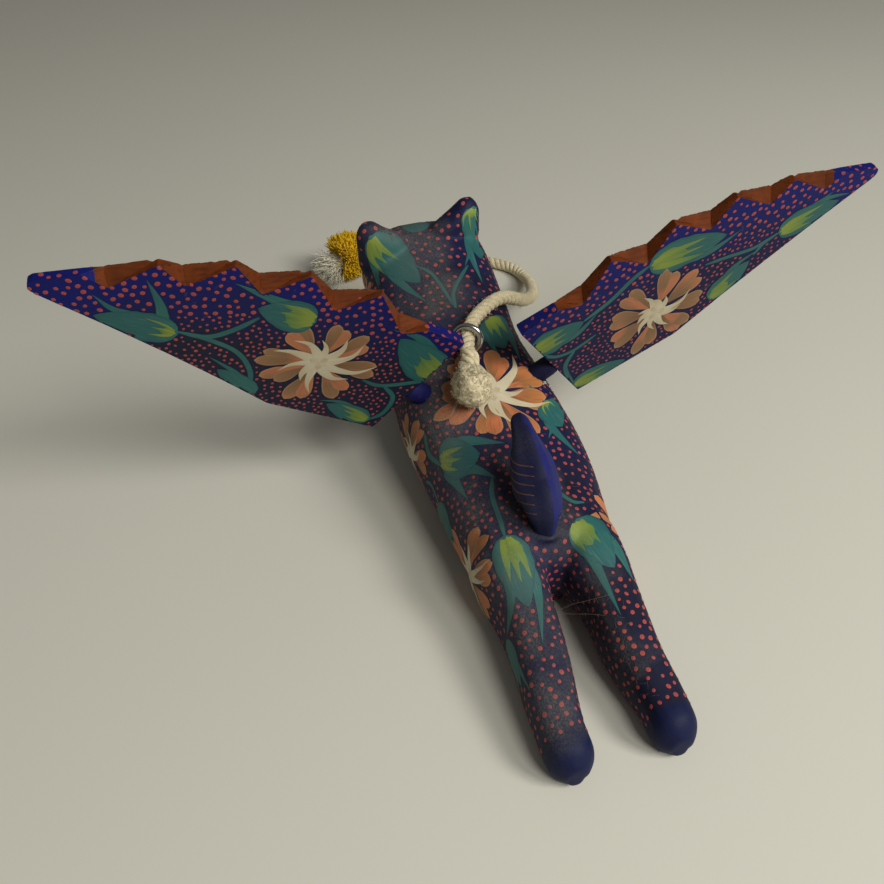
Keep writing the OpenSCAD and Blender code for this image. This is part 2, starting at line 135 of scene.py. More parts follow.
class Nodes:
    """A material's node tree, with short ways to add the nodes used here."""

    def __init__(self, name):
        self.material = bpy.data.materials.new(name)
        self.material.use_nodes = True
        self.tree = self.material.node_tree
        self.shader = self.tree.nodes["Principled BSDF"]
        self.place = self.add("ShaderNodeTexCoord", output="Object")

    def node(self, kind, links=None, **options):
        made = self.tree.nodes.new(kind)
        for key, value in options.items():
            setattr(made, key, value)
        for key, value in (links or {}).items():
            self.feed(made.inputs[key], value)
        return made

    def add(self, kind, links=None, output=0, **options):
        return Value(self, self.node(kind, links, **options).outputs[output])

    def feed(self, socket, value):
        if isinstance(value, Value):
            self.tree.links.new(value.socket, socket)
        else:
            socket.default_value = value

    def noise(self, scale, detail, stretch=(1, 1, 1), where=None, distort=0.0):
        moved = self.add("ShaderNodeMapping", {"Vector": where or self.place, "Scale": stretch})
        return self.add("ShaderNodeTexNoise", {"Vector": moved, "Scale": scale, "Detail": detail,
                                               "Distortion": distort}, output="Fac")

    def uv(self, layer):
        return self.add("ShaderNodeUVMap", uv_map=layer)

    def bump(self, height, depth, strength):
        made = self.add("ShaderNodeBump", {"Height": height, "Distance": depth, "Strength": strength})
        self.feed(self.shader.inputs["Normal"], made)

    def finish(self, **values):
        """Sets the shader's sockets and gives the material."""
        names = {"colour": "Base Color", "rough": "Roughness", "metal": "Metallic", "sheen": "Sheen Weight",
                 "gloss": "Specular IOR Level"}
        for key, value in values.items():
            self.feed(self.shader.inputs[names[key]], value)
        return self.material


def srgb(red, green, blue):
    """A colour from 0 to 255, as a linear one."""
    def line(v):
        v /= 255
        return v / 12.92 if v <= 0.04045 else ((v + 0.055) / 1.055) ** 2.4
    return line(red), line(green), line(blue), 1.0


def add_dust(made, colour, amount, heavy=0.0):
    """Fine grey lint that lies on what faces up, in patches; returns the colour and the dust's mask."""
    dust_grey = srgb(90, 88, 83)
    up = made.add("ShaderNodeNewGeometry", output="Normal").split()[2].band(-0.35, 0.75)
    patches = (made.noise(45, 4, distort=0.4) + heavy).band(0.42, 0.70)
    specks = made.noise(2400, 2, stretch=(1, 0.6, 1)).band(0.42, 0.62)
    mask = up * patches * (specks * 0.55 + 0.45) * amount
    return mask.mix(colour, dust_grey), mask


def stroke_paint(name, start, end, other, streak, rim, dust, wear=None):
    """Brush paint that turns from one tone to another along its stroke, with streaks and a rim.

    Some strokes are of another tone throughout. Wear says where more dust lies; the body's wear also lays
    painted light and shade along its sides.
    """
    made = Nodes(name)
    brush = made.uv("brush")
    along, across, _ = made.uv("stroke").split()
    lines = made.noise(1.0, 4, stretch=(0.13, 2.4, 1), where=brush, distort=0.25)
    tint = made.noise(0.06, 1, where=brush)
    fade = along + (lines - 0.5) * 1.3
    tone = fade.band(0.15, 0.95).mix(start, end)
    tone = (tint.band(0.50, 0.60) * 0.85).mix(tone, other)
    tone = (lines.band(0.54, 0.70) * 0.75).mix(tone, streak)
    edge = abs(across * 2.0 - 1.0).maths("MAXIMUM", along.band(0.55, 1.0))
    tone = (edge.band(0.78, 0.96) * 0.7).mix(tone, rim)
    tone, mask = add_dust(made, tone, dust, wear(made) if wear else 0.0)
    made.bump(lines, 0.00014, 0.4)
    return made.finish(colour=tone, rough=mask * 0.4 + 0.5, gloss=0.22)


def base_coat(made, tone, dust, heavy=0.0):
    """Finishes a blue coat with brush lines, scuffs and dust."""
    lines = made.noise(700, 3, stretch=(1, 0.10, 1), distort=0.4)
    tone = (lines.band(0.52, 0.80) * 0.5).mix(tone, srgb(20, 18, 34))
    scuffs = made.noise(260, 6, distort=1.5).band(0.66, 0.74)
    tone = (scuffs * 0.3).mix(tone, srgb(86, 74, 70))
    tone, mask = add_dust(made, tone, dust, heavy)
    made.bump(lines + made.noise(1400, 3), 0.00013, 0.35)
    return made.finish(colour=tone, rough=mask * 0.4 + 0.55, gloss=0.12)


def worn_thin(made, colour, deep):
    """A colour that wears thin to a deeper one in soft patches."""
    return made.noise(40, 5, distort=0.8).band(0.38, 0.64).mix(colour, deep)


def plain_blue(name, colour, deep, dust):
    made = Nodes(name)
    return base_coat(made, worn_thin(made, colour, deep), dust)


def body_dust_light_and_shade(made):
    """Dust that lies thicker on the body's neck; thicker along its left side and thinner on its right and on
    the socks, which is partly dust and partly painted light and shade: lighter grey on the left, darker on
    the right and on the socks.
    """
    x, y, _ = made.place.split()
    neck = y.band(0.020, 0.050) * abs(x).band(0.018, 0.004) * 0.18
    # Partly dust, partly painted light and shade: a lighter grey along the left side, darker on the right
    # side and on the socks.
    left = x.band(-0.002, -0.018) * y.band(0.050, 0.020) * 0.19
    right = x.band(0.004, 0.014) * -0.18
    socks = y.band(-0.084, -0.098) * -0.2
    return neck + left + right + socks


def body_blue():
    """The body's coat: dull navy with bluer socks, and dust, whose bias along the sides is partly painted
    light and shade.
    """
    made = Nodes("body_blue")
    tone = worn_thin(made, srgb(27, 30, 66), srgb(30, 31, 50))
    sock = made.place.split()[1].band(-0.0950, -0.0960)
    return base_coat(made, sock.mix(tone, srgb(25, 30, 62)), 0.8, body_dust_light_and_shade(made))


def tail_blue():
    """The tail's coat, in painted light and shade: bright blue on its right side, which faces the light, and
    dark navy on its left, in painted shade.
    """
    made = Nodes("tail_blue")
    facing = made.add("ShaderNodeTexCoord", output="Normal").split()[0]
    # Painted light and shade: bright where the surface faces right, dark where it faces left.
    right = (facing + (made.noise(120, 4) - 0.5) * 0.5).band(-0.15, 0.25)
    return base_coat(made, right.mix(srgb(26, 28, 58), srgb(26, 31, 96)), 0.3)


def wing_blue():
    """The wings' coat: bright blue below the crest, dull navy lower down, with the right wing's navy darker
    as painted shade.
    """
    made = Nodes("wing_blue")
    crest_top, crest_bow, crest_middle = 0.0995, 5.1, 0.088
    x, _, z = made.place.split()
    out = abs(x) - crest_middle
    depth = z - crest_top + out * out * crest_bow
    cloud = (made.noise(70, 4, distort=0.6) - 0.5) * 0.02
    bright = (depth + cloud).band(-0.026, -0.004)
    # The dull navy is greyer on the left wing. On the right wing it is darker and bluer, as painted shade
    # against the stronger light on that wing.
    dull = x.band(-0.01, 0.01).mix(srgb(26, 28, 48), srgb(21, 25, 60))
    return base_coat(made, bright.mix(dull, srgb(15, 21, 94)), 0.08)


def crest_brown():
    """The crest's coat: red-brown with darker fibres."""
    made = Nodes("crest_brown")
    tone = made.noise(120, 5, distort=0.8).band(0.35, 0.7).mix(srgb(86, 39, 12), srgb(108, 50, 14))
    fibres = made.noise(900, 4, stretch=(0.12, 1, 1))
    tone = fibres.band(0.5, 0.75).mix(tone, srgb(70, 31, 11))
    tone, mask = add_dust(made, tone, 0.05)
    made.bump(fibres, 0.0002, 0.5)
    return made.finish(colour=tone, rough=mask * 0.3 + 0.55, gloss=0.12)


def twisted_fibre(name, light, dark, turns):
    """Cotton or yarn: fine fibres that run slanted round each strand."""
    made = Nodes(name)
    along, across, _ = made.uv("brush").split()
    slant = (along * turns + across) * 14.0
    comb = made.add("ShaderNodeCombineXYZ", {"X": slant, "Y": along})
    fibres = made.noise(1.0, 4, where=comb, distort=0.3)
    soil = made.noise(110, 4, distort=0.5).band(0.5, 0.8) * 0.35
    tone = soil.mix(fibres.band(0.3, 0.7).mix(dark, light), dark)
    made.bump(fibres, 0.0004, 0.6)
    return made.finish(colour=tone, rough=0.95, sheen=0.12, gloss=0.15)


def zinc():
    made = Nodes("zinc_wire")
    wear = made.noise(700, 4, stretch=(1, 1, 0.3))
    tone = wear.mix(srgb(150, 150, 148), srgb(205, 205, 202))
    made.bump(wear, 0.00005, 0.3)
    return made.finish(colour=tone, metal=1.0, rough=wear * 0.2 + 0.14)


def matt_crumb(name, light, dark):
    made = Nodes(name)
    return made.finish(colour=made.noise(1200, 3).mix(dark, light), rough=0.9, gloss=0.2)


def floor_paper():
    made = Nodes("pale_floor")
    tone = made.noise(3, 3).mix(srgb(205, 203, 189), srgb(212, 210, 197))
    made.bump(made.noise(900, 2), 0.0001, 0.1)
    return made.finish(colour=tone, rough=0.6)


# Meshes

class Sheaf:
    """Points, faces, brush and stroke coordinates and paints of many small pieces that make one mesh.

    A sheaf of paint also has the search tree of the surface that it lies on.
    """

    def __init__(self, tree=None):
        self.tree = tree
        self.points, self.faces, self.brush, self.stroke, self.paints = [], [], [], [], []

    def add(self, points, faces, brush, paint=0, stroke=None):
        start = len(self.points)
        self.points += [tuple(p) for p in points]
        self.brush += [tuple(b) for b in brush]
        self.stroke += stroke or [(0.5, 0.5)] * len(points)
        self.faces += [[start + i for i in face] for face in faces]
        self.paints += [paint] * len(faces)

    def mesh(self, name):
        mesh = bpy.data.meshes.new(name)
        mesh.from_pydata(self.points, [], self.faces)
        mesh.polygons.foreach_set("material_index", self.paints)
        corners = np.empty(len(mesh.loops), np.int32)
        mesh.loops.foreach_get("vertex_index", corners)
        for layer, values in (("brush", self.brush), ("stroke", self.stroke)):
            made = mesh.uv_layers.new(name=layer)
            made.data.foreach_set("uv", np.array(values, np.float32)[corners].ravel())
        mesh.shade_smooth()
        mesh.update()
        return mesh


def show(name, shape, body, materials, replaced=()):
    """Adds a piece, from a mesh or a sheaf, that rides on a body and may stand for CAD nodes."""
    mesh = shape.mesh(name) if isinstance(shape, Sheaf) else shape
    piece = add_object(name, mesh)
    for material in materials:
        mesh.materials.append(material)
    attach(piece, body)
    if replaced:
        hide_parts(*replaced)
    return piece


def smooth_curve(points, step):
    """Points about a step apart on a smooth curve through the given ones."""
    p = np.array(points, float)
    p = np.vstack([2 * p[0] - p[1], p, 2 * p[-1] - p[-2]])
    out = []
    for a, b, c, d in zip(p, p[1:], p[2:], p[3:]):
        count = max(1, round(norm(c - b) / step))
        for t in np.arange(count) / count:
            out.append(0.5 * (2 * b + (c - a) * t + (2 * a - 5 * b + 4 * c - d) * t ** 2
                              + (3 * b - a - 3 * c + d) * t ** 3))
    return np.array(out + [p[-2]])


def run_lengths(path):
    return np.concatenate([[0], np.cumsum(norm(np.diff(path, axis=0), axis=1))])


def headings(path):
    """The unit direction of a path at each of its points."""
    ahead = np.gradient(path, axis=0)
    return ahead / norm(ahead, axis=1)[:, None]


def carried_frames(path):
    """Side and up at each point of a path, carried along without twist."""
    ahead = headings(path)
    side = np.cross(ahead[0], (0, 0, 1) if abs(ahead[0][2]) < 0.9 else (1, 0, 0))
    sides = []
    for t in ahead:
        side = side - t * (side @ t)
        side = side / norm(side)
        sides.append(side)
    sides = np.array(sides)
    return sides, np.cross(ahead, sides)


def tube_faces(rings, sides):
    """Faces of a closed tube whose rings of points follow each other."""
    ring = list(range(sides))
    following = ring[1:] + ring[:1]
    last = (rings - 1) * sides
    faces = [[i + a, i + b, i + sides + b, i + sides + a]
             for i in range(0, last, sides) for a, b in zip(ring, following)]
    return faces + [ring[::-1], [last + a for a in ring]]


def add_tube(sheaf, path, radius, sides, paint=0):
    """A closed round tube; radius is one number or one for each point."""
    path = np.array(path, float)
    radius = np.broadcast_to(radius, len(path))
    side, up = carried_frames(path)
    angles = tau * np.arange(sides) / sides
    rings = (path[:, None] + radius[:, None, None]
             * (np.cos(angles)[None, :, None] * side[:, None] + np.sin(angles)[None, :, None] * up[:, None]))
    brush = [(s, j / sides) for s in run_lengths(path) / mm for j in range(sides)]
    sheaf.add(rings.reshape(-1, 3), tube_faces(len(path), sides), brush, paint)


def add_rope(sheaf, path, rope_d, lay, strands=3):
    """Twisted strands, slightly uneven in thickness, round a middle line."""
    strand_share, uneven = 0.268, 0.05
    side, up = carried_frames(path)
    strand_r = rope_d * strand_share
    reach = rope_d / 2 - strand_r
    along = run_lengths(path)
    for k in range(strands):
        turn = tau * (along / lay + k / strands)
        line = path + reach * (np.cos(turn)[:, None] * side + np.sin(turn)[:, None] * up)
        wobble = [1 + uneven * noise.noise(Vector(p) * 400) for p in line]
        add_tube(sheaf, line, strand_r * np.array(wobble), 10)


def any_way():
    return Vector(draw.gauss(0, 1) for _ in range(3))


def fibre(start, heading, length, curl, count):
    """A loose fibre that wanders off from its start and stays above the floor."""
    lowest = 0.35 * mm
    point, way = Vector(start), Vector(heading).normalized()
    line = [point.copy()]
    for _ in range(count - 1):
        way = (way + any_way() * curl).normalized()
        point = point + way * (length / (count - 1))
        point.z = max(point.z, lowest)
        line.append(point.copy())
    return line


# The rope hanger and the pieces on it

cord_route = [(-4.2, 10.8, 47.4), (-3.1, 15.8, 48.1), (-1.5, 21, 48.5), (1.5, 27.5, 48.6), (5.5, 33, 48.6),
              (10.5, 37.8, 48.6), (14.5, 41, 48.3), (19, 44.3, 46.8), (24.2, 48.3, 43.2), (28.9, 54, 38.6),
              (33.3, 61, 33.9), (38, 69, 29.2), (42.8, 78, 24), (47.5, 88, 18.8), (51.8, 98, 13.8),
              (55.6, 108, 9.3), (58.7, 118, 5.6), (60, 128, 3), (58, 137, 2.6), (52, 144, 2.6),
              (44, 150, 2.6), (33, 154, 2.6), (21, 157, 2.7), (10, 158, 4.2), (0, 157.5, 7), (-8, 156, 10)]
cord_d = 4.8 * mm
cord_lay = 8 * mm
cord_step = 0.7 * mm
knot_middle = Vector((-4.2, 10.8, 47.4)) * mm
fray_middle = Vector((-6.5, 2, 46)) * mm
tuft_start = Vector((-8, 156, 10.3)) * mm
tuft_axis = Vector((-9, -3, 0)).normalized()
tuft_l = 13 * mm
tip_axis = Vector((-9, -3, -4)).normalized()


def make_rope(cotton):
    path = smooth_curve(np.array(cord_route) * mm, cord_step)
    sheaf = Sheaf()
    add_rope(sheaf, path, cord_d, cord_lay)
    fuzz_on(sheaf, path, cord_d / 2, 900)
    rope = show("hanger_rope", sheaf, "carving", [cotton], ["hanger_cord"])
    return rope, path


def fuzz_on(sheaf, path, radius, count):
    """Short loose fibres that stand off a rope."""
    hair_r = 0.04 * mm
    side, up = carried_frames(path)
    for _ in range(count):
        i = draw.randrange(2, len(path) - 2)
        turn = vary(0, tau)
        out = Vector(cos(turn) * side[i] + sin(turn) * up[i])
        slant = Vector(path[i + 1] - path[i - 1]).normalized() * vary(-2, 2)
        start = Vector(path[i]) + out * radius * 0.85
        add_tube(sheaf, fibre(start, out + slant, vary(0.8, 2.0) * mm, 0.5, 4), hair_r, 3)


def make_knot(cotton):
    """The stopper knot: the rope's end takes one tight turn round itself."""
    turn_r, end_d, rise, turns, first_angle = 1.75 * mm, 3.4 * mm, 2.2 * mm, 1.35, 0.6
    axis = (fray_middle - knot_middle).normalized()
    side = axis.cross(straight_up).normalized()
    up = side.cross(axis)
    path = []
    for t in np.linspace(0, 1, 40):
        a = tau * turns * t + first_angle
        out = cos(a) * side + sin(a) * up
        path.append(knot_middle + turn_r * out + axis * rise * (2 * t - 1))
    sheaf = Sheaf()
    add_rope(sheaf, np.array(path), end_d, cord_lay)
    inner = smooth_curve([knot_middle - axis * 3 * mm, knot_middle, fray_middle], cord_step)
    add_rope(sheaf, inner, 0.95 * cord_d, cord_lay)
    fuzz_on(sheaf, inner, cord_d / 2, 160)
    return show("stopper_knot", sheaf, "carving", [cotton], ["cord_knot"])


def make_fray(cotton):
    """The frayed rope end: a soft, slightly drooping ball of opened, curled fibres."""
    fibres, lump_height = 4500, 1.2
    middle = fray_middle + Vector((-0.2, -1.2, -0.2)) * mm
    size = Matrix.Diagonal((5.3 * mm, 6.4 * mm, 5.6 * mm, 1))
    bm = bmesh.new()
    bmesh.ops.create_icosphere(bm, subdivisions=5, radius=1, matrix=Matrix.Translation(middle) @ size)
    for v in bm.verts:
        out = (v.co - middle).normalized()
        lump = noise.noise(v.co * 300) + 0.8 * abs(noise.noise(v.co * 560)) + 0.25 * noise.noise(v.co * 1500)
        v.co += out * lump * lump_height * mm
    sheaf = Sheaf()
    bm.verts.ensure_lookup_table()
    sheaf.add([v.co for v in bm.verts], [[v.index for v in f.verts] for f in bm.faces],
              [(v.co.x / mm, v.co.z / mm / 6) for v in bm.verts])
    skin = BVHTree.FromBMesh(bm)
    bm.free()
    for _ in range(fibres):
        out = any_way().normalized()
        start = skin.ray_cast(middle, out)[0]
        line = fibre(start - out * 0.3 * mm, out + any_way() * 1.5, vary(0.8, 1.8) * mm, 0.8, 5)
        add_tube(sheaf, line, vary(0.03, 0.07) * mm, 3)
    return show("frayed_ball", sheaf, "carving", [cotton], ["knot_fray"])


def make_tuft(yarn):
    """A tied tuft of cut yarn: fine threads that fan out round the rope's end."""
    threads, heart_r = 2300, 5.2 * mm
    side = tuft_axis.cross(straight_up).normalized()
    sheaf = Sheaf()
    heart = [tuft_start + tuft_axis * tuft_l * t for t in np.linspace(0.28, 0.72, 9)]
    add_tube(sheaf, heart, [heart_r * almond_width(t) for t in np.linspace(0.08, 0.92, 9)], 24)
    for _ in range(threads):
        turn = vary(0, tau)
        out = cos(turn) * side + sin(turn) * straight_up
        lengthwise = vary(-1, 1)
        start = tuft_start + tuft_axis * (tuft_l * (0.5 + 0.25 * lengthwise))
        start += out * vary(0.5, 2) * mm
        heading = out + tuft_axis * lengthwise * 0.25
        length = vary(6.4, 8.4) * (1 + 0.3 * max(0, out.z)) * mm
        add_tube(sheaf, fibre(start, heading, length, 0.14, 7), vary(0.16, 0.28) * mm, 4)
    return show("mustard_tuft", sheaf, "carving", [yarn], ["yarn_tuft"])


def make_tip(cotton):
    """The loose rope end past the tuft, opened into wavy wisps that sink to the floor."""
    wisps, heart_r = 520, 2.2 * mm
    start = tuft_start + tuft_axis * (tuft_l - 4 * mm)
    sheaf = Sheaf()
    heart = [start + tip_axis * 9 * mm * t for t in np.linspace(0, 1, 9)]
    add_tube(sheaf, heart, [heart_r * almond_width(t) for t in np.linspace(0.1, 0.95, 9)], 16)
    for _ in range(wisps):
        heading = tip_axis + any_way() * 0.2
        line = fibre(start + any_way() * 1.2 * mm, heading, vary(9, 15) * mm, 0.14, 9)
        add_tube(sheaf, line, vary(0.09, 0.17) * mm, 3)
    return show("frayed_wisps", sheaf, "carving", [cotton], ["frayed_tip"])


def make_hanger():
    cotton = twisted_fibre("cotton", srgb(228, 217, 184), srgb(194, 178, 138), 0.35)
    yarn = twisted_fibre("mustard_yarn", srgb(238, 194, 10), srgb(206, 162, 4), 0.5)
    # A lighter copy of the cotton for the frayed wisps, as painted light: it makes up for the shade between
    # their thin fibres.
    pale = twisted_fibre("painted_light_cotton", srgb(252, 248, 230), srgb(236, 228, 202), 0.35)
    rope, path = make_rope(cotton)
    others = [make_knot(cotton), make_fray(cotton), make_tuft(yarn), make_tip(pale)]
    run_lengths(path)[-1]


# The screw eye

eye_middle = Vector((-1.5, 21, 48.7)) * mm
eye_turn, eye_tilt = radians(-26), radians(-12)


def make_screw_eye():
    """A wire that rises as a screw and bends round into a slightly tilted ring that ends beside the stem."""
    wire_r, ring_r, screw_l, end_gap, closed = 0.95 * mm, 4.15 * mm, 17.8 * mm, 0.4, 0.97
    turn = Matrix.Rotation(eye_turn, 3, "Z") @ Matrix.Rotation(eye_tilt, 3, "X")
    foot = eye_middle - Vector((0, 0, screw_l - wire_r))
    neck = eye_middle - Vector((0, 0, ring_r + 1.2 * mm))
    path = [foot + (neck - foot) * t for t in np.linspace(0, 1, 12)]
    for t in np.linspace(0.02, 1, 60):
        a = -pi / 2 + t * tau * closed
        aside = (2 * t - 1) * end_gap * mm
        path.append(eye_middle + turn @ Vector((ring_r * cos(a), aside, ring_r * sin(a))))
    sheaf = Sheaf()
    add_tube(sheaf, smooth_curve(path, 0.4 * mm), wire_r, 16)
    show("wire_screw_eye", sheaf, "carving", [zinc()], ["screw_eye"])


# The carved body

wing_lean, wing_sweep, peg_rise = radians(15), radians(5), radians(38)
socket = Vector((19.37, 12, 37.905)) * mm
tail_seat = Vector((0, -45, 28.2)) * mm


def wing_frame(side):
    """The wing's own frame: X out along the span, Y through the board, Z up the board."""
    flip = Matrix.Diagonal((side, 1, 1, 1))
    turn = Matrix.Rotation(wing_sweep, 4, "Z") @ Matrix.Rotation(wing_lean, 4, "X")
    return flip @ Matrix.Translation(socket) @ turn


def peg_frame(side):
    """A frame on the wing's peg, with Z outward along it."""
    return wing_frame(side) @ Matrix.Rotation(pi / 2 - peg_rise, 4, "Y")


def add_rod(bm, place, *sizes):
    """A round rod along a frame's Z: its radius, low end and high end in millimetres."""
    radius, low, high = (size * mm for size in sizes)
    lift = Matrix.Translation((0, 0, (low + high) / 2))
    bmesh.ops.create_cone(bm, cap_ends=True, segments=40, radius1=radius, radius2=radius, depth=high - low,
                          matrix=place @ lift)


def finished_mesh(piece):
    """The piece's mesh with its modifiers applied."""
    graph = bpy.context.evaluated_depsgraph_get()
    return bpy.data.meshes.new_from_object(piece.evaluated_get(graph))


def temporary(name, bm):
    mesh = bpy.data.meshes.new(name)
    bm.to_mesh(mesh)
    bm.free()
    return add_object(name, mesh)


def fine_skin(piece, voxel):
    """The piece's surface as an even mesh of small squares."""
    remesh = piece.modifiers.new("remesh", "REMESH")
    remesh.mode = "VOXEL"
    remesh.voxel_size = voxel
    return finished_mesh(piece)


def rounded_body():
    """The CAD body with its holes filled, its corners softened and its holes cut again."""
    seat = Matrix.Translation(tail_seat)
    bm = bmesh.new()
    bm.from_mesh(nodes["body"].data)
    for side in (1, -1):
        add_rod(bm, peg_frame(side), 3.6, -12.4, -1.5)
    add_rod(bm, seat, 1.9, -10.3, 0.2)
    add_rod(bm, seat, 3.9, -0.5, 0.6)
    add_rod(bm, Matrix.Translation(eye_middle), 1.1, -19, -6)
    piece = temporary("soft_body", bm)
    soft = fine_skin(piece, 0.75 * mm)
    soften(soft, 12)
    carve_details(soft)
    piece.modifiers.clear()
    piece.data = soft
    bm = bmesh.new()
    for side in (1, -1):
        add_rod(bm, peg_frame(side), 3.45, -12, 8)
    add_rod(bm, seat, 1.75, -10, 4)
    cutter = temporary("cutter", bm)
    cut = piece.modifiers.new("cut", "BOOLEAN")
    cut.object = cutter
    cut.solver = "EXACT"
    result = finished_mesh(piece)
    bpy.data.objects.remove(piece)
    bpy.data.objects.remove(cutter)
    result.shade_smooth()
    result.set_sharp_from_angle(angle=radians(50))
    return result


def read_points(mesh):
    co = np.empty(len(mesh.vertices) * 3, np.float32)
    mesh.vertices.foreach_get("co", co)
    return co.reshape(-1, 3).astype(float)


def write_points(mesh, co):
    mesh.vertices.foreach_set("co", co.astype(np.float32).ravel())
    mesh.update()


def soften(mesh, rounds):
    """Smooths a mesh without shrinking it: each inward step is followed by one outward."""
    ends = np.empty(len(mesh.edges) * 2, np.int32)
    mesh.edges.foreach_get("vertices", ends)
    a, b = ends.reshape(-1, 2).T
    co = read_points(mesh)
    count = np.bincount(a, minlength=len(co)) + np.bincount(b, minlength=len(co))
    for _ in range(rounds):
        for pull in (0.55, -0.57):
            total = np.zeros_like(co)
            np.add.at(total, a, co[b])
            np.add.at(total, b, co[a])
            co += pull * (total / count[:, None] - co)
    write_points(mesh, co)


def ramp(value, low, high):
    t = np.clip((value - low) / (high - low), 0, 1)
    return t * t * (3 - 2 * t)


def carve_details(mesh):
    """Shallow toe grooves and slight hand-carved waves."""
    groove_w, foot_w, wave_height = 0.7, 7, 0.16
    co = read_points(mesh)
    normal = np.empty(len(co) * 3, np.float32)
    mesh.vertex_normals.foreach_get("vector", normal)
    normal = normal.reshape(-1, 3)
    x, y, z = (co / mm).T
    depth = np.zeros(len(co))
    hind = (0.3, ramp(-y, 100, 102), 1 - ramp(z, 4, 7))
    front = (0.7, ramp(y, 95, 99), z < 13)
    for middle, toe_gap, (deep, at_end, low) in ((-12.75, 2.3, hind), (14.75, 2.3, hind), (-11.5, 2.1, front),
                                                 (11.5, 2.1, front)):
        for toe in (-toe_gap, toe_gap):
            near = np.exp(-((x - middle - toe) / groove_w) ** 2) * (np.abs(x - middle) < foot_w)
            depth += deep * near * at_end * low
    wave = np.array([noise.noise(Vector(p) * 75) for p in co])
    depth += wave_height * wave * ramp(z, 0.5, 4)
    co -= normal * (depth * mm)[:, None]
    co[:, 2] = np.maximum(co[:, 2], 0)
    write_points(mesh, co)


# Painting

PETAL, CREAM, LEAF, LIME, DOT, INK = range(6)


def petal_width(s):
    return sin(pi * s ** 2.1) ** 0.55


def bud_width(s):
    return sin(pi * s ** 0.66) ** 0.75


def horn_width(s):
    return (1 - s) ** 0.9 * min(1.0, 0.55 + 4 * s)


def flame_width(s):
    return sin(pi * (0.10 + 0.90 * s) ** 0.6) ** 0.9


def stem_width(s):
    return min(1.0, 0.45 + 3 * s, 0.45 + 3 * (1 - s))


def almond_width(s):
    return sin(pi * s) ** 0.85


